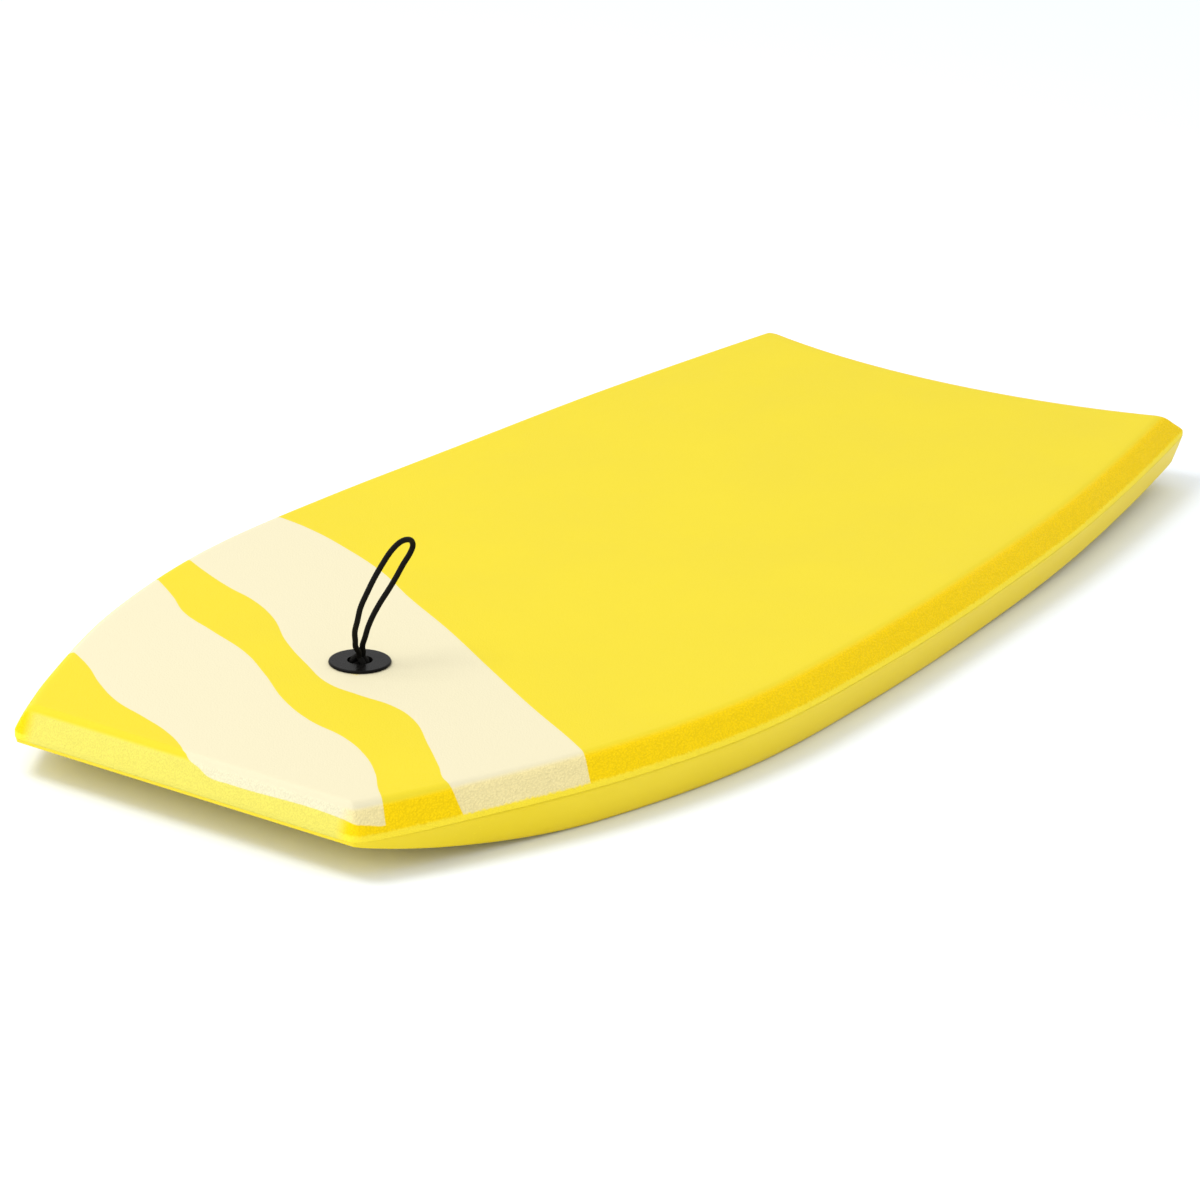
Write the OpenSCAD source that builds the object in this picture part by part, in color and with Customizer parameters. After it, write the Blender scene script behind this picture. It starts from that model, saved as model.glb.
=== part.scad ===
// Bodyboard: foam core, embossed deck skin, slick bottom skin, and a two-part
// leash plug with a cord loop that swings on the plug's crossbar.
// Millimetres, +Z up, nose towards -Y, tail towards +Y, X across the board.
// The origin lies under the middle of the board, on the surface it rests on.

/* [Board] */
// Length from the nose's edge to the tips of the tail
board_l = 1047; // [980:1:1100]
// Width at the widest point
board_w = 518; // [490:2:560]
// Thickness over the flat middle
board_t = 51.5; // [46:0.5:60]
// Depth of the crescent cut into the tail
crescent = 28; // [10:1:45]
// Height that the bottom lifts at the nose
nose_lift = 25; // [15:1:27]
// Height that the bottom lifts at the tail
tail_lift = 15.5; // [5:0.5:25]
// Height that the deck lifts at the tail
deck_lift = 12.5; // [5:0.5:25]

/* [Rails] */
// Height of the upper chamfer, from the seam to the deck
chamfer_h = 21; // [15:1:24]
// Distance that the upper chamfer leans inwards
chamfer_in = 12; // [8:1:18]
// Inward lean of the lower rail for each millimetre of its height
rail_lean = 0.3; // [0.1:0.05:0.5]
// Radius in plan of the nose's corners
nose_corner = 5; // [3:1:20]
// Radius in plan of the tail's tips
tail_corner = 4; // [2:1:30]

/* [Skins] */
// Thickness of the embossed deck skin
deck_skin_t = 4; // [3:0.5:5]
// Thickness of the slick bottom skin
bottom_skin_t = 2; // [1.5:0.5:3]

/* [Leash plug] */
// Distance of the plug's centre from the nose's edge
plug_from_nose = 204; // [190:1:230]
// Offset of the plug from the board's centre line
plug_x = -8; // [-12:1:12]
// Diameter of the cap's flange
flange_d = 44; // [40:1:60]
// Thickness of the cap's flange
flange_t = 2.3; // [1.5:0.1:3.5]
// Diameter of the well that holds the crossbar
well_d = 18; // [17:1:24]
// Diameter of the crossbar
bar_d = 5; // [4:0.5:6]
// Diameter of the loop's cord
cord_d = 4; // [3:0.5:4]

/* [Hidden] */

// Half-width of the seam line, as shares of the length and of the greatest half-width
outline = [[0, 0.565], [0.057, 0.687], [0.17, 0.87], [0.302, 0.985],
           [0.443, 1], [0.614, 0.969], [0.785, 0.912], [1, 0.777]];

nose_flat = 178;       // length over which the nose's bottom lifts
tail_bend = 554;       // distance from the nose at which the tail starts to lift
tail_curve = 1.6;      // power that the tail's lift follows
nose_dip = 3;          // extra drop of the seam at the nose
nose_reach = 7;        // lean of the nose's chamfer
tail_reach = 20;       // lean of the tail's chamfer
crescent_blend = 4;    // how late the deck's cross lines bend into the crescent
least_edge = 0.5;      // least height of the core between the bottom skin and the seam

// Chamfer and lower rail in section: share of the lean, share of the height
chamfer_curve = [[0, 0], [0.38, 0.38], [0.76, 0.75], [1.05, 0.93], [1.46, 1]];
rail_curve = [[0, 0], [0.3, 0.3], [0.6, 0.61], [0.9, 0.88], [1.3, 1]];

// Stations along the flat of each face, and across it
along = [0, 0.008, 0.02, 0.04, 0.07, 0.11, 0.16, 0.22, 0.29, 0.37, 0.45, 0.53, 0.6, 0.67,
         0.73, 0.79, 0.84, 0.88, 0.915, 0.945, 0.968, 0.984, 0.994, 1];
across = [-1, -0.75, -0.5, -0.25, 0, 0.25, 0.5, 0.75, 1];

plug_y = plug_from_nose - board_l / 2;
flange_top = board_t + flange_t;
bar_drop = 0.5;                   // from the flange down to the top of the crossbar
bar_z = flange_top - bar_drop - bar_d / 2;
barrel_d = well_d + 6;            // outside of the threaded barrel
barrel_bottom = 14;               // where the barrel sits on the base's collar
well_floor = 30;                  // top of the base's threaded post
base_d = 40;
base_t = 2.5;
base_recess = 0.3;                // keeps the base clear of the ground
coin_slot_l = 18;
coin_slot_w = 2.2;
coin_slot_depth = 1.4;
fit_gap = 0.1;                    // radial room between the plug and the foam
turn_gap = 0.3;                   // radial room between the hitch and the crossbar
hitch_r = bar_d / 2 + turn_gap;

// The loop's route, from the plug's centre on the deck's flat
loop_route = [[1, -2, 5], [2, -4, 10], [4, -10, 16], [6, -13, 22], [8, -16, 30], [11, -17, 39],
              [13, -16, 49], [16, -13, 59], [19, -8, 70], [22, -2, 80], [24, 4, 87],
              [25, 12, 91], [25, 20, 91], [24, 27, 88], [23, 30, 83], [21, 29, 77],
              [19, 24, 70], [17, 19, 62], [15, 13, 54], [12, 7, 45], [10, 2, 37],
              [8, -1, 29], [6, -2, 21], [3, -1, 14], [2, 1, 9], [1, 2, 5]];
// Normal of the plane that the loop nearly lies in
loop_normal = [-0.966, 0, 0.259];
cord_sides = 8;

// ---- Curves of the board, with y measured from the nose's edge ----

function chord(p, i) = (p[i + 1][1] - p[i][1]) / (p[i + 1][0] - p[i][0]);
function inner_slope(p, i) = (p[i + 1][1] - p[i - 1][1]) / (p[i + 1][0] - p[i - 1][0]);
function slope(p, i) =
    i == 0 ? 2 * chord(p, 0) - inner_slope(p, 1) :
    i == len(p) - 1 ? 2 * chord(p, i - 1) - inner_slope(p, i - 1) :
    inner_slope(p, i);
function span(p, x, i = 0) = (i >= len(p) - 2 || x < p[i + 1][0]) ? i : span(p, x, i + 1);
function blend(p, x, i) =
    let(h = p[i + 1][0] - p[i][0], t = (x - p[i][0]) / h)
    (2 * t^3 - 3 * t^2 + 1) * p[i][1] + (t^3 - 2 * t^2 + t) * h * slope(p, i)
    + (3 * t^2 - 2 * t^3) * p[i + 1][1] + (t^3 - t^2) * h * slope(p, i + 1);
function smooth(p, x) = blend(p, x, span(p, x));

function corner_cut(d, r) = d >= r ? 0 : r - sqrt(r^2 - (r - max(d, 0))^2);
function half_width(y) =
    board_w / 2 * smooth(outline, min(max(y / board_l, 0), 1))
    - corner_cut(y, nose_corner) - corner_cut(board_l - y, tail_corner);

function tail_share(y) = y < tail_bend ? 0 : ((y - tail_bend) / (board_l - tail_bend))^tail_curve;
function nose_share(y) = y > nose_flat ? 0 : (1 - y / nose_flat)^2;
function bottom_z(y) = nose_lift * nose_share(y) + tail_lift * tail_share(y);
function deck_z(y) = board_t + deck_lift * tail_share(y);
function seam_z(y) =
    max(deck_z(y) - chamfer_h - nose_dip * nose_share(y),
        bottom_z(y) + bottom_skin_t + least_edge);

// ---- Faces of the board as grids of points ----
// A row or column is [place on its edge's curve, share of the way over the flat,
// place on the chamfer], and the chamfer's places keep both skins' seam points together.

function edge_station(curve, i, flat) = [curve[i], flat, chamfer_curve[i][0]];
function stations(curve, flat) =
    let(last = len(curve) - 1, end = len(flat) - 1)
    concat(
        [for (i = [0 : last - 1]) edge_station(curve, i, flat[0])],
        [for (f = flat) edge_station(curve, last, f)],
        [for (i = [last - 1 : -1 : 0]) edge_station(curve, i, flat[end])]);

// Distance along the board of a point, from the leans of the two ends
function along_y(row, col, nose_in, tail_in) =
    nose_in + row[1] * (board_l - tail_in - nose_in)
    - crescent * (1 - col[1]^2) * row[1]^crescent_blend;

// A point on the deck's side, at a depth below the outer face
function deck_point(row, col, depth) =
    let(y = along_y(row, col, depth + nose_reach * row[0][0], depth + tail_reach * row[0][0]),
        rail_in = depth + chamfer_in * col[0][0],
        share = min(row[0][1], col[0][1]))
    [col[1] * (half_width(y) - rail_in), y,
     seam_z(y) + share * (deck_z(y) - depth - seam_z(y))];

// Lean of an end's underside, which takes the chamfer's places where it meets the rails
function end_in(row, share, reach, height) =
    reach * row[2] * (1 - share) + rail_lean * height * row[0][0] * share;

// A point on the bottom's side, at a depth inside the outer face
function bottom_point(row, col, depth) =
    let(nose_h = seam_z(0) - bottom_z(0),
        tail_h = seam_z(board_l) - bottom_z(board_l),
        y = along_y(row, col,
                    depth + end_in(row, col[0][1], nose_reach, nose_h),
                    depth + end_in(row, col[0][1], tail_reach, tail_h)),
        rail_in = depth + rail_lean * col[0][0] * (seam_z(y) - bottom_z(y)),
        share = min(row[0][1], col[0][1]))
    [col[1] * (half_width(y) - rail_in), y,
     seam_z(y) - share * (seam_z(y) - bottom_z(y) - depth)];

function deck_grid(depth) =
    [for (row = stations(chamfer_curve, along), col = stations(chamfer_curve, across))
        deck_point(row, col, depth)];
function bottom_grid(depth) =
    [for (row = stations(rail_curve, along), col = stations(rail_curve, across))
        bottom_point(row, col, depth)];

row_count = len(stations(chamfer_curve, along));
col_count = len(stations(chamfer_curve, across));
grid_count = row_count * col_count;

// Triangles of the grid whose points start at index first, facing up or down
function grid_faces(first, up) =
    [for (i = [0 : row_count - 2], j = [0 : col_count - 2])
        let(a = first + i * col_count + j, b = a + 1, c = a + col_count, d = c + 1)
        each up ? [[a, c, b], [b, c, d]] : [[a, b, c], [b, d, c]]];

// The same grid's boundary as one loop of indices, counterclockwise from above
function grid_edge(first) =
    let(n = row_count, m = col_count)
    concat([for (j = [0 : m - 1]) first + j],
           [for (i = [1 : n - 1]) first + i * m + m - 1],
           [for (j = [m - 2 : -1 : 0]) first + (n - 1) * m + j],
           [for (i = [n - 2 : -1 : 1]) first + i * m]);

// Triangles between two loops; they face down when the outer loop comes first
function strip_faces(first_loop, second_loop) =
    let(n = len(first_loop))
    [for (k = [0 : n - 1])
        let(m = (k + 1) % n)
        each [[first_loop[k], first_loop[m], second_loop[k]],
              [first_loop[m], second_loop[m], second_loop[k]]]];

// ---- Board ----

// A solid between two grids whose boundaries are joined by a rim
module solid_between(upper, lower, rim) {
    translate([0, -board_l / 2, 0])
        polyhedron(points = concat(upper, lower), convexity = 6,
                   faces = concat(grid_faces(0, true), grid_faces(grid_count, false), rim));
}

module at_plug(z = 0) {
    translate([plug_x, plug_y, z]) children();
}

module plug_hole() {
    at_plug(-1) cylinder(h = board_t + 2, d = barrel_d + 2 * fit_gap, $fn = 96);
}

module base_pocket() {
    at_plug(-1) cylinder(h = 1 + base_recess + base_t, d = base_d + 2 * fit_gap, $fn = 96);
}

module foam_core() {
    color("white")
        difference() {
            solid_between(deck_grid(deck_skin_t), bottom_grid(bottom_skin_t),
                          strip_faces(grid_edge(0), grid_edge(grid_count)));
            plug_hole();
            base_pocket();
        }
}

module deck_skin() {
    color([0.99, 0.9, 0.3])
        difference() {
            solid_between(deck_grid(0), deck_grid(deck_skin_t),
                          strip_faces(grid_edge(0), grid_edge(grid_count)));
            plug_hole();
        }
}

module bottom_skin() {
    color([0.9, 0.81, 0.24])
        difference() {
            solid_between(bottom_grid(bottom_skin_t), bottom_grid(0),
                          strip_faces(grid_edge(0), grid_edge(grid_count)));
            base_pocket();
        }
}

// ---- Leash plug ----

// Round flange with a full round rim, standing on z = 0
module flange(d, t) {
    rotate_extrude($fn = 96)
        union() {
            square([d / 2 - t / 2, t]);
            translate([d / 2 - t / 2, t / 2]) circle(d = t, $fn = 32);
        }
}

module crossbar() {
    at_plug(bar_z) rotate([90, 0, 0])
        cylinder(h = well_d + 2, d = bar_d, center = true, $fn = 48);
}

module plug_cap() {
    color([0.12, 0.12, 0.13])
        union() {
            difference() {
                union() {
                    at_plug(board_t) flange(flange_d, flange_t);
                    at_plug(barrel_bottom)
                        cylinder(h = flange_top - flange_t / 2 - barrel_bottom, d = barrel_d, $fn = 96);
                }
                at_plug(barrel_bottom - 1) cylinder(h = board_t, d = well_d, $fn = 96);
            }
            crossbar();
        }
}

module plug_base() {
    collar_bottom = base_recess + base_t;
    color([0.12, 0.12, 0.13])
        difference() {
            union() {
                at_plug(base_recess) flange(base_d, base_t);
                at_plug(base_recess + base_t / 2)
                    cylinder(h = barrel_bottom - base_recess - base_t / 2, d = barrel_d, $fn = 96);
                at_plug(collar_bottom)
                    cylinder(h = well_floor - collar_bottom, d = well_d - fit_gap, $fn = 96);
            }
            at_plug() cube([coin_slot_l, coin_slot_w, 2 * coin_slot_depth + base_recess],
                           center = true);
        }
}

// ---- Cord loop ----

// The cord's two turns side by side round the crossbar, with clearance to turn
module loop_hitch() {
    turn_r = hitch_r + cord_d / 2;
    color([0.08, 0.08, 0.09])
        at_plug(bar_z) rotate([90, 0, 0])
            rotate_extrude($fn = 96)
                union() {
                    for (side = [-1, 1])
                        translate([turn_r, side * cord_d / 2]) circle(d = cord_d, $fn = 32);
                    translate([turn_r - cord_d / 4, -cord_d / 2]) square([cord_d / 2, cord_d]);
                }
}

function unit(v) = v / norm(v);
function heading(route, k) =
    unit(route[min(k + 1, len(route) - 1)] - route[max(k - 1, 0)]);

// A tube of one polyhedron along the points of a route that lies near one plane
module cord_tube(route, d, plane_normal) {
    n = cord_sides;
    last = len(route) - 1;
    points = [for (k = [0 : last], s = [0 : n - 1])
        let(ahead = heading(route, k),
            side = unit(cross(plane_normal, ahead)),
            out = cross(ahead, side),
            a = 360 * s / n)
        route[k] + d / 2 * (cos(a) * side + sin(a) * out)];
    walls = [for (k = [0 : last - 1], s = [0 : n - 1])
        let(a = k * n + s, b = k * n + (s + 1) % n)
        each [[a, a + n, b], [b, a + n, b + n]]];
    polyhedron(points = points, convexity = 6, faces = concat(
        [[for (s = [0 : n - 1]) s]], walls, [[for (s = [n - 1 : -1 : 0]) last * n + s]]));
}

module leash_loop() {
    color([0.08, 0.08, 0.09])
        at_plug(board_t) cord_tube(loop_route, cord_d, loop_normal);
}

foam_core();
deck_skin();
bottom_skin();
plug_cap();
plug_base();
loop_hitch();
leash_loop();
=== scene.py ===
"""A foam bodyboard with a crescent tail, an embossed deck printed with two pale waves,
a slick bottom, and a leash plug whose braided cord loop is hitched round its crossbar."""
import math

import bmesh
import bpy
import numpy as np
from mathutils import Matrix, Quaternion, Vector


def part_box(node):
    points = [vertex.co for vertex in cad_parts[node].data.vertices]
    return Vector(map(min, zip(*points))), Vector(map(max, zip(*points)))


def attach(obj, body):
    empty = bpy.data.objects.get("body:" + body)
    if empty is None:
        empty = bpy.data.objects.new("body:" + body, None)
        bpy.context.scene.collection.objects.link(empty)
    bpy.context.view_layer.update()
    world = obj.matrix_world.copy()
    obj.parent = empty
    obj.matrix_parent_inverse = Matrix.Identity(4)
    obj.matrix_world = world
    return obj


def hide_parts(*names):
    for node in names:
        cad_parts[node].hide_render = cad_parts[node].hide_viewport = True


MM = 0.001
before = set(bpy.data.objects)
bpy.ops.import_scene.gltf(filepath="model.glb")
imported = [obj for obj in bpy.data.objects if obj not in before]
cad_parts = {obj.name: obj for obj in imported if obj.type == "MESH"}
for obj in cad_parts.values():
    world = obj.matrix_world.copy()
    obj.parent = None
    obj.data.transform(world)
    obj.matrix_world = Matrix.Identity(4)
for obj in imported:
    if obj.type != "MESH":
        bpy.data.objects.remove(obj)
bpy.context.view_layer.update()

# ---- Places that the frame gives ----

deck_low, deck_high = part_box("deck_skin")
plug_low, plug_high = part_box("plug_cap")
LENGTH = deck_high.y - deck_low.y
HALF_WIDTH = (deck_high.x - deck_low.x) / 2
NOSE = deck_low.y
PLUG = (plug_low + plug_high) / 2
FLANGE_TOP = plug_high.z

# ---- Sizes of the board, in metres ----

THICKNESS = 51.5 * MM
NOSE_LIFT, TAIL_LIFT = 25 * MM, 15.5 * MM
DECK_LIFT = deck_high.z - THICKNESS
NOSE_FLAT, TAIL_BEND = 178 * MM, 554 * MM
CRESCENT = 28 * MM
NOSE_CORNER, TAIL_CORNER = 5 * MM, 4 * MM
CHAMFER_HEIGHT, CHAMFER_LEAN = 21 * MM, 12 * MM
NOSE_DIP = 3 * MM
NOSE_REACH, TAIL_REACH = 7 * MM, 20 * MM
RAIL_LEAN = 0.3
DECK_SKIN, BOTTOM_SKIN = 4 * MM, 2 * MM
LEAST_EDGE = 0.5 * MM
BARREL_HOLE, BASE_POCKET = 12.1 * MM, 20.1 * MM
BASE_DEPTH = 2.8 * MM

# Half-width at the seam: share of the length, share of the greatest half-width
OUTLINE = ((0, 0.565), (0.057, 0.687), (0.17, 0.87), (0.302, 0.985),
           (0.443, 1), (0.614, 0.969), (0.785, 0.912), (1, 0.777))

# ---- Sizes of the leash plug and its cord ----

CORD_WIDTH = 4 * MM
BAR_HEIGHT = FLANGE_TOP - 3 * MM
BRAID_STRANDS = 8
BRAID_PITCH = 15 * MM
BRAID_RELIEF = 0.22 * MM

# The loop's route in millimetres, from the plug's centre on the deck's flat
LOOP_ROUTE = ((1, -2, 5), (2, -4, 10), (4, -10, 16), (6, -13, 22), (8, -16, 30), (11, -17, 39),
              (13, -16, 49), (16, -13, 59), (19, -8, 70), (22, -2, 80), (24, 4, 87),
              (25, 12, 91), (25, 20, 91), (24, 27, 88), (23, 30, 83), (21, 29, 77),
              (19, 24, 70), (17, 19, 62), (15, 13, 54), (12, 7, 45), (10, 2, 37),
              (8, -1, 29), (6, -2, 21), (3, -1, 14), (2, 1, 9), (1, 2, 5))
# Half of the hitch, from the loop down round the crossbar to the bight behind both strands,
# in millimetres from the middle of the crossbar
HITCH_ROUTE = ((2.6, -2, 4.1), (4.5, -2, 1.6), (4.6, -2, -1.4), (2.9, -2, -3.8),
               (0, -2.1, -4.8), (-3, -2.3, -3.7), (-4.8, -2.6, -0.8), (-4.7, -2.6, 2),
               (-3.7, -1.9, 4), (-3.2, -0.9, 4.8))
BIGHT_MIDDLE = (-3.1, 0, 5)


# ---- Camera ----

def place_camera():
    """Looks down along the board from in front of the nose, from its right."""
    azimuth, elevation, roll = math.radians(34.21), math.radians(20.64), math.radians(1.21)
    distance = 3.049
    target = Vector((21.5 * MM, NOSE + 456.2 * MM, 29.7 * MM))
    back = Vector((math.sin(azimuth) * math.cos(elevation),
                   -math.cos(azimuth) * math.cos(elevation),
                   math.sin(elevation)))
    right = (-back).cross(Vector((0, 0, 1))).normalized()
    up = right.cross(-back)
    turned_right = right * math.cos(roll) + up * math.sin(roll)
    turned_up = up * math.cos(roll) - right * math.sin(roll)
    data = bpy.data.cameras.new("camera")
    data.sensor_width = 36
    data.lens = 123.3
    data.clip_end = 50
    camera = bpy.data.objects.new("camera", data)
    axes = Matrix((turned_right, turned_up, back)).transposed().to_4x4()
    camera.matrix_world = Matrix.Translation(target + back * distance) @ axes
    bpy.context.scene.collection.objects.link(camera)
    bpy.context.scene.camera = camera


# ---- Meshes ----

def make_piece(name, points, faces, materials):
    """A smooth-shaded mesh object of points and faces."""
    mesh = bpy.data.meshes.new(name)
    mesh.from_pydata([tuple(p) for p in points], [], [tuple(f) for f in faces])
    for material in materials:
        mesh.materials.append(material)
    mesh.shade_smooth()
    mesh.validate()
    piece = bpy.data.objects.new(name, mesh)
    bpy.context.scene.collection.objects.link(piece)
    return piece


def mend_normals(piece, merge=0.0):
    """Joins points that lie on each other and turns every face outwards."""
    work = bmesh.new()
    work.from_mesh(piece.data)
    if merge:
        bmesh.ops.remove_doubles(work, verts=work.verts, dist=merge)
    bmesh.ops.recalc_face_normals(work, faces=work.faces)
    work.to_mesh(piece.data)
    work.free()


def grid_faces(rows, columns, first=0, flip=False):
    """Four-sided faces of a grid whose points start at index first."""
    faces = []
    for i in range(rows - 1):
        for j in range(columns - 1):
            a = first + i * columns + j
            face = (a, a + 1, a + columns + 1, a + columns)
            faces.append(face[::-1] if flip else face)
    return faces


def grid_edge(rows, columns, first=0):
    """The indices round the edge of a grid, in order."""
    front = [first + j for j in range(columns)]
    right = [first + i * columns + columns - 1 for i in range(1, rows)]
    back = [first + (rows - 1) * columns + j for j in range(columns - 2, -1, -1)]
    left = [first + i * columns for i in range(rows - 2, 0, -1)]
    return front + right + back + left


def cut_round_hole(piece, radius, low, high):
    """Cuts an upright round hole for the plug."""
    work = bmesh.new()
    place = Matrix.Translation((PLUG.x, PLUG.y, (low + high) / 2))
    bmesh.ops.create_cone(work, cap_ends=True, segments=96, radius1=radius, radius2=radius,
                          depth=high - low, matrix=place)
    mesh = bpy.data.meshes.new("hole")
    work.to_mesh(mesh)
    work.free()
    cutter = bpy.data.objects.new("hole", mesh)
    bpy.context.scene.collection.objects.link(cutter)
    cut = piece.modifiers.new("hole", "BOOLEAN")
    cut.operation = "DIFFERENCE"
    cut.solver = "EXACT"
    cut.object = cutter
    bpy.context.view_layer.update()
    evaluated = piece.evaluated_get(bpy.context.evaluated_depsgraph_get())
    finished = bpy.data.meshes.new_from_object(evaluated)
    piece.modifiers.clear()
    old, piece.data = piece.data, finished
    bpy.data.meshes.remove(old)
    bpy.data.objects.remove(cutter)
    bpy.data.meshes.remove(mesh)


# ---- Curves of the board; y is measured from the nose's edge ----

def smooth_curve(points, x):
    """A curve through the points, whose slope at each comes from its neighbours."""
    px, py = np.array(points, float).T
    inner = (py[2:] - py[:-2]) / (px[2:] - px[:-2])
    chord = np.diff(py) / np.diff(px)
    slope = np.concatenate(([2 * chord[0] - inner[0]], inner, [2 * chord[-1] - inner[-1]]))
    i = np.clip(np.searchsorted(px, x, side="right") - 1, 0, len(px) - 2)
    h = px[i + 1] - px[i]
    t = (x - px[i]) / h
    start = (2 * t**3 - 3 * t**2 + 1) * py[i] + (t**3 - 2 * t**2 + t) * h * slope[i]
    end = (3 * t**2 - 2 * t**3) * py[i + 1] + (t**3 - t**2) * h * slope[i + 1]
    return start + end


def corner_cut(distance, radius):
    """How far a rounded corner draws the outline in, at a distance from the end."""
    left = radius - np.clip(distance, 0, radius)
    return radius - np.sqrt(radius**2 - left**2)


def half_width(y):
    wide = HALF_WIDTH * smooth_curve(OUTLINE, np.clip(y / LENGTH, 0, 1))
    return wide - corner_cut(y, NOSE_CORNER) - corner_cut(LENGTH - y, TAIL_CORNER)


def tail_share(y):
    return (np.clip(y - TAIL_BEND, 0, None) / (LENGTH - TAIL_BEND)) ** 1.6


def nose_share(y):
    return np.clip(1 - y / NOSE_FLAT, 0, None) ** 2


def bottom_height(y):
    return NOSE_LIFT * nose_share(y) + TAIL_LIFT * tail_share(y)


def deck_height(y):
    return THICKNESS + DECK_LIFT * tail_share(y)


def seam_height(y):
    return np.maximum(deck_height(y) - CHAMFER_HEIGHT - NOSE_DIP * nose_share(y),
                      bottom_height(y) + BOTTOM_SKIN + LEAST_EDGE)


# ---- Sections: share of the lean and share of the height, from the seam inwards ----

def straight(start, end, count):
    return [(start[0] + (end[0] - start[0]) * k / count,
             start[1] + (end[1] - start[1]) * k / count) for k in range(count)]


def bend(start, corner, end, count):
    """Points of a curve from start to end that heads for the corner."""
    points = []
    for k in range(count + 1):
        t = k / count
        points.append(tuple((1 - t) ** 2 * start[n] + 2 * t * (1 - t) * corner[n]
                            + t**2 * end[n] for n in range(2)))
    return points


CUT_SHARE = 0.15
FOLD_SOFTNESS = 0.25
CHAMFER_SECTION = (straight((0, 0), (0, CUT_SHARE), 4)
                   + bend((0, CUT_SHARE), (0, 0.19), (0.04, 0.225), 4)
                   + straight((0.07, 0.25), (0.72, 0.72), 6)
                   + bend((0.72, 0.72), (1.1, 1), (1.6, 1), 10))
RAIL_SECTION = (straight((0, 0), (0.8, 0.8), 8)
                + bend((0.8, 0.8), (1, 1), (1.35, 1), 8))


def spread(count, crowding):
    """Shares from 0 to 1 that crowd towards both ends."""
    even = np.linspace(0, 1, count)
    return even - crowding * np.sin(2 * math.pi * even) / (2 * math.pi)


def stations(section, flat):
    """Up one edge's section, over the flat and down the other edge's:
    lean, height and place over the flat, one row each."""
    lean = [p[0] for p in section] + [section[-1][0]] * (len(flat) - 2)
    lean += [p[0] for p in reversed(section)]
    height = [p[1] for p in section] + [1] * (len(flat) - 2)
    height += [p[1] for p in reversed(section)]
    ends = len(section) - 1
    place = [flat[0]] * ends + list(flat) + [flat[-1]] * ends
    return np.array((lean, height, place))


def soft_lower(a, b, softness):
    """The lower of two shares, eased where they meet, and exact at 0 and 1."""
    low = np.minimum(a, b)
    reach = softness * 4 * low * (1 - low) + 1e-9
    ease = np.clip(1 - np.abs(a - b) / reach, 0, None)
    return low - ease**2 * reach / 4


def grid_of(section, along, across):
    """Row stations as columns of numbers, and column stations as rows of numbers."""
    rows = stations(section, along)[:, :, None]
    columns = stations(section, across)[:, None, :]
    return rows, columns


def distance_along(rows, columns, nose_in, tail_in):
    straight_y = nose_in + rows[2] * (LENGTH - tail_in - nose_in)
    return straight_y - CRESCENT * (1 - columns[2] ** 2) * rows[2] ** 4


def as_points(x, y, z):
    """Grid points in the frame, row by row, with y moved from the nose's edge."""
    x, y, z = np.broadcast_arrays(x, y + NOSE, z)
    return np.stack((x, y, z), axis=-1).reshape(-1, 3)


def deck_points(rows, columns, depth):
    """The deck side of the board, at a depth below its face."""
    y = distance_along(rows, columns, depth + NOSE_REACH * rows[0],
                       depth + TAIL_REACH * rows[0])
    x = columns[2] * (half_width(y) - depth - CHAMFER_LEAN * columns[0])
    share = soft_lower(rows[1], columns[1], FOLD_SOFTNESS)
    z = seam_height(y) + share * (deck_height(y) - depth - seam_height(y))
    return as_points(x, y, z), (share * (deck_height(y) - seam_height(y))).ravel()


def bottom_points(rows, columns, depth):
    """The bottom side of the board, at a depth inside its face."""
    nose_height = seam_height(np.zeros(1)) - bottom_height(np.zeros(1))
    tail_height = seam_height(np.full(1, LENGTH)) - bottom_height(np.full(1, LENGTH))
    y = distance_along(rows, columns, depth + RAIL_LEAN * nose_height * rows[0],
                       depth + RAIL_LEAN * tail_height * rows[0])
    height = seam_height(y) - bottom_height(y)
    x = columns[2] * (half_width(y) - depth - RAIL_LEAN * columns[0] * height)
    share = soft_lower(rows[1], columns[1], FOLD_SOFTNESS)
    z = seam_height(y) - share * (height - depth)
    return as_points(x, y, z)


def shell(name, outer, inner, rows, columns, materials):
    """A closed skin between an outer and an inner grid of the same size."""
    count = rows * columns
    faces = grid_faces(rows, columns) + grid_faces(rows, columns, count, flip=True)
    outer_edge = grid_edge(rows, columns)
    inner_edge = grid_edge(rows, columns, count)
    for k in range(len(outer_edge)):
        m = (k + 1) % len(outer_edge)
        faces.append((outer_edge[m], outer_edge[k], inner_edge[k], inner_edge[m]))
    return make_piece(name, np.concatenate((outer, inner)), faces, materials)


def make_deck(material):
    """The embossed foam deck, wrapped over the chamfers down to its cut edge."""
    rows, columns = grid_of(CHAMFER_SECTION, spread(110, 0.6), 2 * spread(50, 0.3) - 1)
    outer, rise = deck_points(rows, columns, 0)
    inner, inner_rise = deck_points(rows, columns, DECK_SKIN)
    deck = shell("deck", outer, inner, rows.shape[1], columns.shape[2], [material])
    above = deck.data.attributes.new("above_seam", "FLOAT", "POINT")
    above.data.foreach_set("value", np.concatenate((rise, inner_rise)))
    mend_normals(deck, merge=0.02 * MM)
    cut_round_hole(deck, BARREL_HOLE, THICKNESS - 20 * MM, THICKNESS + 20 * MM)
    return deck


def make_slick(material):
    """The smooth skin of the bottom and the lower rails, with a pocket for the plug's base."""
    rows, columns = grid_of(RAIL_SECTION, spread(110, 0.6), 2 * spread(50, 0.3) - 1)
    outer = bottom_points(rows, columns, 0)
    inner = bottom_points(rows, columns, BOTTOM_SKIN)
    slick = shell("slick", outer, inner, rows.shape[1], columns.shape[2], [material])
    mend_normals(slick, merge=0.02 * MM)
    cut_round_hole(slick, BASE_POCKET, -20 * MM, BASE_DEPTH)
    return slick


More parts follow.
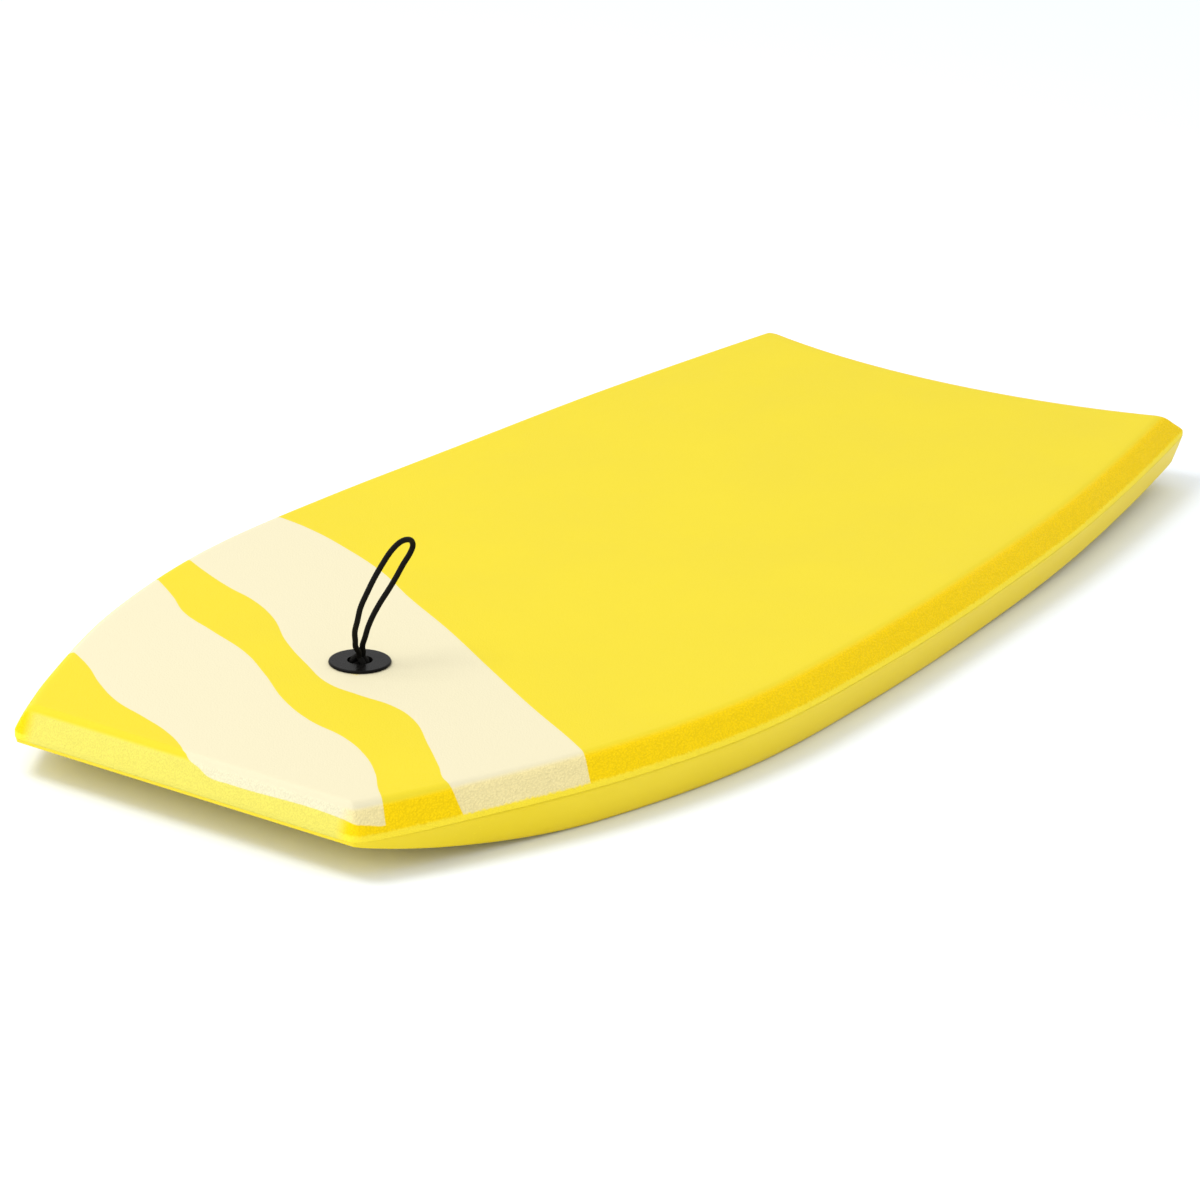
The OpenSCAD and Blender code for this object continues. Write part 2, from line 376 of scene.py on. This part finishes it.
# ---- Cord ----

def even_route(points, step):
    """A smooth route through the points, resampled at even steps."""
    p = np.array(points, float)
    p = np.concatenate(([2 * p[0] - p[1]], p, [2 * p[-1] - p[-2]]))
    fine = []
    for i in range(1, len(p) - 2):
        for t in np.linspace(0, 1, 16, endpoint=False):
            fine.append(0.5 * (2 * p[i] + (p[i + 1] - p[i - 1]) * t
                               + (2 * p[i - 1] - 5 * p[i] + 4 * p[i + 1] - p[i + 2]) * t**2
                               + (3 * p[i] - p[i - 1] - 3 * p[i + 1] + p[i + 2]) * t**3))
    fine = np.array(fine + [p[-2]])
    gone = np.concatenate(([0], np.cumsum(np.linalg.norm(np.diff(fine, axis=0), axis=1))))
    steps = np.linspace(0, gone[-1], max(2, round(gone[-1] / step)) + 1)
    return np.stack([np.interp(steps, gone, fine[:, n]) for n in range(3)], axis=-1), steps


def carried_frames(route):
    """A side vector at each point of a route, carried along it without twist."""
    ahead = np.gradient(route, axis=0)
    ahead /= np.linalg.norm(ahead, axis=1)[:, None]
    side = Vector(ahead[0]).orthogonal().normalized()
    sides = [side]
    for k in range(1, len(route)):
        turn = Vector(ahead[k - 1]).rotation_difference(Vector(ahead[k]))
        side = (turn @ side).normalized()
        sides.append(side)
    sides = np.array(sides)
    return sides, np.cross(ahead, sides)


def braid_height(angle, along):
    """Relief of a one-over-one braid, from 0 between strands to 1 on top of one."""
    around = BRAID_STRANDS * angle / (2 * math.pi)
    wound = BRAID_STRANDS * along / BRAID_PITCH
    u, v = around + wound, around - wound
    over = (np.floor(u) + np.floor(v)) % 2 == 0
    round_u = np.sin(math.pi * (u % 1))
    round_v = np.sin(math.pi * (v % 1))
    across = np.where(over, round_u, round_v)
    length = np.where(over, round_v, round_u)
    return across**0.6 * (0.35 + 0.65 * length)


def braided_tube(route, gone, sides, outs, first, last):
    """Points and faces of the braided cord between two steps of its route."""
    around = 32
    angle = np.linspace(0, 2 * math.pi, around, endpoint=False)[None, :]
    step = slice(first, last + 1)
    radius = CORD_WIDTH / 2 + BRAID_RELIEF * (braid_height(angle, gone[step, None]) - 0.6)
    points = (route[step, None, :]
              + (radius * np.cos(angle))[..., None] * sides[step, None, :]
              + (radius * np.sin(angle))[..., None] * outs[step, None, :])
    rings = last + 1 - first
    faces = []
    for k in range(rings - 1):
        for s in range(around):
            a, b = k * around + s, k * around + (s + 1) % around
            faces.append((a, b, b + around, a + around))
    faces.append(tuple(range(around))[::-1])
    faces.append(tuple((rings - 1) * around + s for s in range(around)))
    return points.reshape(-1, 3), faces


def make_cord(material):
    """One braided cord: the standing loop, and the hitch that both its ends run into."""
    plug = np.array((PLUG.x, PLUG.y, 0))
    loop = np.array(LOOP_ROUTE) * MM + plug + (0, 0, THICKNESS)
    down = np.array(HITCH_ROUTE) * MM + plug + (0, 0, BAR_HEIGHT)
    bight = np.array(BIGHT_MIDDLE) * MM + plug + (0, 0, BAR_HEIGHT)
    mirror = np.array((1, -1, 1))
    up = (down - plug) * mirror + plug
    whole = np.concatenate(([bight], down[::-1], loop, up, [bight]))
    route, gone = even_route(whole, 0.4 * MM)
    sides, outs = carried_frames(route)
    starts = np.argmin(np.linalg.norm(route - loop[0], axis=1))
    ends = np.argmin(np.linalg.norm(route - loop[-1], axis=1))
    points, faces = braided_tube(route, gone, sides, outs, starts, ends)
    leash = make_piece("leash_cord", points, faces, [material])
    first_points, first_faces = braided_tube(route, gone, sides, outs, 0, starts)
    last_points, last_faces = braided_tube(route, gone, sides, outs, ends, len(route) - 1)
    moved = [tuple(i + len(first_points) for i in f) for f in last_faces]
    hitch = make_piece("cord_hitch", np.concatenate((first_points, last_points)),
                       first_faces + moved, [material])
    for piece, node in ((leash, "leash_loop"), (hitch, "loop_hitch")):
        mend_normals(piece)
        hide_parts(node)
        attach(piece, "loop")


# ---- Shader nodes ----

def put(tree, kind, values=None, **settings):
    """Adds a node; each of its inputs takes a plain value or another node's output."""
    made = tree.nodes.new(kind)
    for name, value in settings.items():
        setattr(made, name, value)
    for name, value in (values or {}).items():
        if isinstance(value, bpy.types.NodeSocket):
            tree.links.new(value, made.inputs[name])
        else:
            made.inputs[name].default_value = value
    return made


def reckon(tree, operation, *terms):
    """A sum, product or other working of sockets and numbers."""
    return put(tree, "ShaderNodeMath", dict(enumerate(terms)), operation=operation).outputs[0]


def ramp(tree, value, low, high, to_low=0.0, to_high=1.0):
    """Eases from one number to another as a value goes from low to high."""
    values = {"Value": value, "From Min": low, "From Max": high,
              "To Min": to_low, "To Max": to_high}
    return put(tree, "ShaderNodeMapRange", values,
               interpolation_type="SMOOTHSTEP").outputs["Result"]


def mixed(tree, share, first, second):
    """One colour turning into another by a share."""
    made = put(tree, "ShaderNodeMix", data_type="RGBA")
    for socket, value in ((made.inputs[0], share), (made.inputs[6], first),
                          (made.inputs[7], second)):
        if isinstance(value, bpy.types.NodeSocket):
            tree.links.new(value, socket)
        else:
            socket.default_value = value
    return made.outputs[2]


def new_group(name, inputs, outputs):
    """A node group with float inputs and their values, and named outputs."""
    tree = bpy.data.node_groups.new(name, "ShaderNodeTree")
    for label, value in inputs.items():
        socket = tree.interface.new_socket(label, in_out="INPUT", socket_type="NodeSocketFloat")
        socket.default_value = value
    for label in outputs:
        tree.interface.new_socket(label, in_out="OUTPUT", socket_type="NodeSocketFloat")
    return tree, tree.nodes.new("NodeGroupInput").outputs, tree.nodes.new("NodeGroupOutput")


def place_group(tree, group, values):
    made = put(tree, "ShaderNodeGroup", node_tree=group)
    for name, value in values.items():
        if isinstance(value, bpy.types.NodeSocket):
            tree.links.new(value, made.inputs[name])
        else:
            made.inputs[name].default_value = value
    return made.outputs


def own_place(tree):
    return put(tree, "ShaderNodeTexCoord").outputs["Object"]


def noise(tree, scale, detail=3, place=None, roughness=0.5):
    values = {"Vector": place or own_place(tree), "Scale": scale, "Detail": detail,
              "Roughness": roughness}
    return put(tree, "ShaderNodeTexNoise", values).outputs["Fac"]


def build_embossed_grain():
    """Leathery pebbles pressed into foam, drawn out along a slant; grain is their size."""
    tree, given, out = new_group("embossed_grain", {"Size": 1.5 * MM, "Unevenness": 0.5},
                                 ("Height",))
    scale = reckon(tree, "DIVIDE", 1.0, given["Size"])
    turned = put(tree, "ShaderNodeMapping",
                 {"Vector": own_place(tree), "Rotation": (0.5, 0.6, 0.78),
                  "Scale": (1, 0.6, 0.8)})
    cells = put(tree, "ShaderNodeTexVoronoi",
                {"Vector": turned.outputs[0], "Scale": scale, "Smoothness": 0.6,
                 "Randomness": 0.9}, feature="SMOOTH_F1")
    swell = noise(tree, 90, 2)
    pebbles = reckon(tree, "SUBTRACT", 1.0, cells.outputs["Distance"])
    uneven = reckon(tree, "MULTIPLY", swell, given["Unevenness"])
    tree.links.new(reckon(tree, "ADD", pebbles, uneven), out.inputs["Height"])
    return tree


def build_mottle():
    """Soft patches, from 0 to 1, over a given size."""
    tree, given, out = new_group("mottle", {"Size": 60 * MM, "Contrast": 0.3}, ("Mask",))
    scale = reckon(tree, "DIVIDE", 1.0, given["Size"])
    patches = noise(tree, scale, 4)
    low = reckon(tree, "SUBTRACT", 0.5, given["Contrast"])
    high = reckon(tree, "ADD", 0.5, given["Contrast"])
    tree.links.new(ramp(tree, patches, low, high), out.inputs["Mask"])
    return tree


def build_scuffs():
    """Fine scratches that run along a part, from 0 to 1, drawn out about thirty times their
    width.
    """
    tree, given, out = new_group("scuffs", {"Width": 0.5 * MM, "Amount": 0.3}, ("Mask",))
    scale = reckon(tree, "DIVIDE", 1.0, given["Width"])
    drawn = put(tree, "ShaderNodeMapping",
                {"Vector": own_place(tree), "Rotation": (0, 0, 0.25), "Scale": (1, 0.03, 1)})
    lines = noise(tree, scale, 2, drawn.outputs[0])
    where = noise(tree, 14, 2)
    fine = ramp(tree, lines, 0.62, 0.72)
    patch = ramp(tree, where, 0.5, 0.62)
    both = reckon(tree, "MULTIPLY", fine, patch)
    tree.links.new(reckon(tree, "MULTIPLY", both, given["Amount"]), out.inputs["Mask"])
    return tree


GRAIN = build_embossed_grain()
MOTTLE = build_mottle()
SCUFFS = build_scuffs()

# ---- Printed waves: each edge as millimetres across the board and from the nose ----

REAR_BACK = ((-242.5, 406.5), (-207.5, 399.5), (-158.5, 382), (-103, 356), (-61.5, 329.5),
             (4, 292), (69, 251), (132.5, 211.5), (200, 172), (219.5, 158.5))
REAR_FRONT = ((-239.5, 294), (-211.5, 280), (-176, 265), (-145.5, 255), (-112, 236.5),
              (-75, 205.5), (-36.5, 180), (0, 160), (27.5, 156.5), (58.5, 154.5), (83, 144.5),
              (118.5, 114.5), (145.5, 90), (164, 73), (183, 68))
FORE_BACK = ((-230.5, 247.5), (-196, 225.5), (-167, 204.5), (-128.5, 189), (-84, 171),
             (-47.5, 147.5), (-4, 116.5), (30.5, 100), (65.5, 91), (93, 77), (118.5, 56.5),
             (138.5, 34.5), (156.5, 19))
FORE_FRONT = ((-179, 99), (-153.5, 85), (-124.5, 64.5), (-94, 47.5), (-62.5, 37.5),
              (-34.5, 27.5), (-9, 13), (3, 3), (12, 0), (22, -4), (39.5, -4.5), (134, -4.5),
              (144, -6), (154, -9))
PRINT_X = (-262, 262)
PRINT_Y = (-20, 430)


def wave_edge(tree, across, points):
    """How far from the nose a printed edge lies, at a place across the board."""
    curve = put(tree, "ShaderNodeFloatCurve", {"Value": across})
    line = curve.mapping.curves[0].points
    while len(line) < len(points):
        line.new(0.5, 0.5)
    for place, (x, y) in zip(line, points):
        place.location = ((x - PRINT_X[0]) / (PRINT_X[1] - PRINT_X[0]),
                          (y - PRINT_Y[0]) / (PRINT_Y[1] - PRINT_Y[0]))
        place.handle_type = "AUTO"
    curve.mapping.extend = "HORIZONTAL"
    curve.mapping.update()
    return curve.outputs["Value"]


def printed_mask(tree):
    """1 where the deck is printed with the pale waves, and 0 elsewhere."""
    place = put(tree, "ShaderNodeSeparateXYZ", {"Vector": own_place(tree)}).outputs
    across = ramp_straight(tree, place["X"], PRINT_X[0] * MM, PRINT_X[1] * MM)
    from_nose = reckon(tree, "SUBTRACT", place["Y"], NOSE)
    drop = reckon(tree, "SUBTRACT", THICKNESS, place["Z"])
    down_face = reckon(tree, "SUBTRACT", 7 * MM, reckon(tree, "MULTIPLY", drop, 1.05))
    on_face = reckon(tree, "MULTIPLY", ramp(tree, drop, 0.0, 1.5 * MM),
                     ramp(tree, from_nose, 45 * MM, 55 * MM, 1.0, 0.0))
    shift = reckon(tree, "MULTIPLY", reckon(tree, "SUBTRACT", down_face, from_nose), on_face)
    sheet_y = reckon(tree, "MINIMUM", from_nose, reckon(tree, "ADD", from_nose, shift))
    wander = reckon(tree, "MULTIPLY", reckon(tree, "SUBTRACT", noise(tree, 900, 2), 0.5),
                    0.6 * MM)

    def behind(y, edge):
        scaled = ramp_straight(tree, y, PRINT_Y[0] * MM, PRINT_Y[1] * MM)
        apart = reckon(tree, "MULTIPLY", reckon(tree, "SUBTRACT", scaled, edge),
                       (PRINT_Y[1] - PRINT_Y[0]) * MM)
        return ramp(tree, reckon(tree, "ADD", apart, wander), -0.4 * MM, 0.4 * MM)

    rear = reckon(tree, "SUBTRACT", behind(from_nose, wave_edge(tree, across, REAR_FRONT)),
                  behind(from_nose, wave_edge(tree, across, REAR_BACK)))
    fore = reckon(tree, "SUBTRACT", behind(sheet_y, wave_edge(tree, across, FORE_FRONT)),
                  behind(from_nose, wave_edge(tree, across, FORE_BACK)))
    return put(tree, "ShaderNodeClamp",
               {"Value": reckon(tree, "ADD", reckon(tree, "MAXIMUM", rear, 0.0),
                                reckon(tree, "MAXIMUM", fore, 0.0))}).outputs[0]


def ramp_straight(tree, value, low, high):
    """0 to 1 in a straight line as a value goes from low to high, unclamped."""
    values = {"Value": value, "From Min": low, "From Max": high}
    return put(tree, "ShaderNodeMapRange", values, clamp=False).outputs["Result"]


# ---- Materials ----

def new_material(name, roughness, specular=0.5):
    """A material with a Principled shader, whose uniform values are set on it."""
    material = bpy.data.materials.new(name)
    material.use_nodes = True
    shader = material.node_tree.nodes["Principled BSDF"]
    shader.inputs["Roughness"].default_value = roughness
    shader.inputs["Specular IOR Level"].default_value = specular
    return material, material.node_tree, shader


def bumped(tree, shader, height, depth, strength=1.0):
    made = put(tree, "ShaderNodeBump",
               {"Height": height, "Distance": depth, "Strength": strength})
    tree.links.new(made.outputs["Normal"], shader.inputs["Normal"])


# Deck foam colours are lit copies of one foam: the flat's yellow and cream are paler with a
# painted white sheen, and the chamfers' copies are deeper without it.
SHEEN_YELLOW = (0.745, 0.603, 0.028, 1)
SHEEN_YELLOW_DEEP = (0.725, 0.582, 0.024, 1)
SHEEN_CREAM = (0.725, 0.665, 0.455, 1)
CHAMFER_YELLOW = (0.93, 0.64, 0.001, 1)
CHAMFER_CREAM = (0.86, 0.735, 0.355, 1)
# Painted highlight: paler yellow and cream for the nose face, where the front light falls.
NOSE_HIGHLIGHT_YELLOW = (0.79, 0.7, 0.12, 1)
NOSE_HIGHLIGHT_CREAM = (0.8, 0.74, 0.5, 1)
CUT_YELLOW = (1.0, 0.785, 0.04, 1)
RAIL_YELLOW = (0.86, 0.65, 0.01, 1)
RAIL_PALE = (0.89, 0.685, 0.028, 1)


def deck_foam():
    """Matt yellow foam printed with pale waves: fine grain on the flat, coarse on the chamfers,
    and a rough cut edge along the seam. The flat's colours are paler with a painted white sheen,
    the chamfers' grain hollows are darkened with painted shade, and the nose face and its cut
    edge are paler with a painted highlight."""
    material, tree, shader = new_material("deck_foam", 0.6, 0.08)
    patches = place_group(tree, MOTTLE, {"Size": 80 * MM, "Contrast": 0.35})["Mask"]
    above = put(tree, "ShaderNodeAttribute", attribute_name="above_seam").outputs["Fac"]
    chamfer = ramp(tree, above, 18.3 * MM, 20.95 * MM, 1.0, 0.0)
    printed = printed_mask(tree)
    # The flat's colours carry a painted white sheen that the chamfer colours leave out.
    flat = mixed(tree, printed, mixed(tree, patches, SHEEN_YELLOW_DEEP, SHEEN_YELLOW), SHEEN_CREAM)
    place = put(tree, "ShaderNodeSeparateXYZ", {"Vector": own_place(tree)}).outputs
    from_nose = reckon(tree, "SUBTRACT", place["Y"], NOSE)
    off_middle = reckon(tree, "ABSOLUTE", place["X"])
    # Painted highlight: the nose face and the cut edge below it turn paler within 13 mm of the
    # nose.
    nose_highlight = reckon(tree, "MULTIPLY", ramp(tree, from_nose, 8 * MM, 13 * MM, 1.0, 0.0),
                     ramp(tree, off_middle, 128 * MM, 140 * MM, 1.0, 0.0))
    slope = mixed(tree, printed, mixed(tree, nose_highlight, CHAMFER_YELLOW, NOSE_HIGHLIGHT_YELLOW),
                  mixed(tree, nose_highlight, CHAMFER_CREAM, NOSE_HIGHLIGHT_CREAM))
    face = mixed(tree, chamfer, flat, slope)
    grain = place_group(tree, GRAIN, {"Size": 1.1 * MM, "Unevenness": 0.3})["Height"]
    # Painted shade: the grain's hollows on the chamfers are darkened in the colour by up to a
    # tenth.
    hollow_shade = ramp(tree, grain, 0.5, 0.9, 0.1, 0.0)
    painted_hollow_shade = reckon(tree, "MULTIPLY", hollow_shade, chamfer)
    shaded = put(tree, "ShaderNodeHueSaturation",
                 {"Value": reckon(tree, "SUBTRACT", 1.0, painted_hollow_shade), "Color": face})
    torn = reckon(tree, "MULTIPLY", reckon(tree, "SUBTRACT", noise(tree, 500, 3), 0.5),
                  3 * MM)
    cut = ramp(tree, reckon(tree, "ADD", above, torn), 3.6 * MM, 5.6 * MM, 1.0, 0.0)
    edge = mixed(tree, nose_highlight, CUT_YELLOW, NOSE_HIGHLIGHT_YELLOW)
    tree.links.new(mixed(tree, cut, shaded.outputs["Color"], edge),
                   shader.inputs["Base Color"])
    crumbs = reckon(tree, "MULTIPLY", cut, noise(tree, 1200, 2))
    pressed = reckon(tree, "MULTIPLY", grain, ramp(tree, chamfer, 0, 1, 0.25, 1.0))
    bumped(tree, shader, reckon(tree, "ADD", pressed, crumbs), 0.5 * MM, 0.9)
    tree.links.new(ramp(tree, patches, 0, 1, 0.56, 0.64), shader.inputs["Roughness"])
    return material


def slick_sheet():
    """Smooth sheet with a slight gloss, on the bottom and the lower rails."""
    material, tree, shader = new_material("slick", 0.42, 0.2)
    patches = place_group(tree, MOTTLE, {"Size": 120 * MM, "Contrast": 0.35})["Mask"]
    marks = place_group(tree, SCUFFS, {"Width": 0.8 * MM, "Amount": 0.35})["Mask"]
    base = mixed(tree, patches, RAIL_YELLOW, RAIL_PALE)
    tree.links.new(mixed(tree, marks, base, CUT_YELLOW), shader.inputs["Base Color"])
    soft = reckon(tree, "MULTIPLY", noise(tree, 120, 2), 0.6)
    fine = noise(tree, 1500, 2)
    bumped(tree, shader, reckon(tree, "ADD", soft, reckon(tree, "MULTIPLY", fine, 0.15)),
           0.3 * MM, 0.4)
    rough = reckon(tree, "ADD", ramp(tree, patches, 0, 1, 0.36, 0.46),
                   reckon(tree, "MULTIPLY", marks, 0.3))
    tree.links.new(rough, shader.inputs["Roughness"])
    return material


def bead_foam():
    """White foam of fused beads."""
    material, tree, shader = new_material("core_foam", 0.75, 0.3)
    beads = put(tree, "ShaderNodeTexVoronoi",
                {"Vector": own_place(tree), "Scale": 280, "Randomness": 0.85},
                feature="DISTANCE_TO_EDGE")
    wall = ramp(tree, beads.outputs["Distance"], 0, 0.12)
    colour = mixed(tree, wall, (0.78, 0.78, 0.76, 1), (0.9, 0.9, 0.89, 1))
    tree.links.new(colour, shader.inputs["Base Color"])
    bumped(tree, shader, wall, 0.4 * MM, 0.7)
    return material


def plug_plastic():
    """Black moulded plastic with a satin gloss and fine handling scratches."""
    material, tree, shader = new_material("plug_plastic", 0.3, 0.05)
    marks = place_group(tree, SCUFFS, {"Width": 0.25 * MM, "Amount": 0.8})["Mask"]
    colour = mixed(tree, marks, (0.006, 0.0055, 0.005, 1), (0.03, 0.028, 0.025, 1))
    tree.links.new(colour, shader.inputs["Base Color"])
    skin = noise(tree, 2500, 2)
    bumped(tree, shader, reckon(tree, "SUBTRACT", skin, marks), 0.04 * MM, 0.5)
    patches = place_group(tree, MOTTLE, {"Size": 15 * MM, "Contrast": 0.3})["Mask"]
    rough = reckon(tree, "ADD", ramp(tree, patches, 0, 1, 0.24, 0.32),
                   reckon(tree, "MULTIPLY", marks, 0.25))
    tree.links.new(rough, shader.inputs["Roughness"])
    return material


def braided_cord():
    """Black polyester cord, with fine fibres along its strands."""
    material, tree, shader = new_material("cord", 0.6, 0.06)
    fibres = noise(tree, 4500, 3)
    tone = mixed(tree, fibres, (0.001, 0.001, 0.001, 1), (0.012, 0.011, 0.009, 1))
    tree.links.new(tone, shader.inputs["Base Color"])
    bumped(tree, shader, fibres, 0.06 * MM, 0.7)
    tree.links.new(ramp(tree, fibres, 0.3, 0.7, 0.5, 0.7), shader.inputs["Roughness"])
    return material


def give(node, material):
    """A carried-over part keeps its mesh and takes this material."""
    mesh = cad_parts[node].data
    mesh.materials.clear()
    mesh.materials.append(material)


# ---- Studio ----

def make_floor():
    material, tree, shader = new_material("floor", 0.9, 0.0)
    soft = place_group(tree, MOTTLE, {"Size": 400 * MM, "Contrast": 0.4})["Mask"]
    tree.links.new(mixed(tree, soft, (0.86, 0.91, 0.99, 1), (0.87, 0.92, 1.0, 1)),
                   shader.inputs["Base Color"])
    reach = 12
    corners = [(x * reach, y * reach, -0.2 * MM) for x, y in ((-1, -1), (1, -1), (1, 1), (-1, 1))]
    floor = make_piece("floor", corners, [(0, 1, 2, 3)], [material])


def area_light(name, place, target, size, power):
    data = bpy.data.lights.new(name, "AREA")
    data.shape = "DISK"
    data.size = size
    data.energy = power
    lamp = bpy.data.objects.new(name, data)
    direction = Vector(target) - Vector(place)
    lamp.rotation_mode = "QUATERNION"
    lamp.rotation_quaternion = direction.to_track_quat("-Z", "Y")
    lamp.location = place
    bpy.context.scene.collection.objects.link(lamp)


def light_studio():
    """Even white surroundings that are dimmer to the right, and a low panel at the nose."""
    world = bpy.data.worlds.new("studio")
    world.use_nodes = True
    tree = world.node_tree
    place = put(tree, "ShaderNodeTexCoord").outputs["Generated"]
    rightwards = put(tree, "ShaderNodeSeparateXYZ", {"Vector": place}).outputs["X"]
    glow = ramp(tree, rightwards, 0.1, 0.9, 1.05, 0.75)
    tree.links.new(glow, tree.nodes["Background"].inputs["Strength"])
    tree.nodes["Background"].inputs["Color"].default_value = (1, 1, 1, 1)
    bpy.context.scene.world = world
    area_light("overhead", (-1.0, -1.2, 3.0), (0, 0, 0), 1.6, 40)
    area_light("nose_panel", (-1.6, -2.9, 1.1), (0, -0.4, 0), 1.8, 14)
    bpy.context.scene.view_settings.view_transform = "Standard"


# ---- The board ----

place_camera()
make_cord(braided_cord())

deck = make_deck(deck_foam())
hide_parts("deck_skin")
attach(deck, "board")

slick = make_slick(slick_sheet())
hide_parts("bottom_skin")
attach(slick, "board")

give("foam_core", bead_foam())
black = plug_plastic()
give("plug_cap", black)
give("plug_base", black)

make_floor()
light_studio()
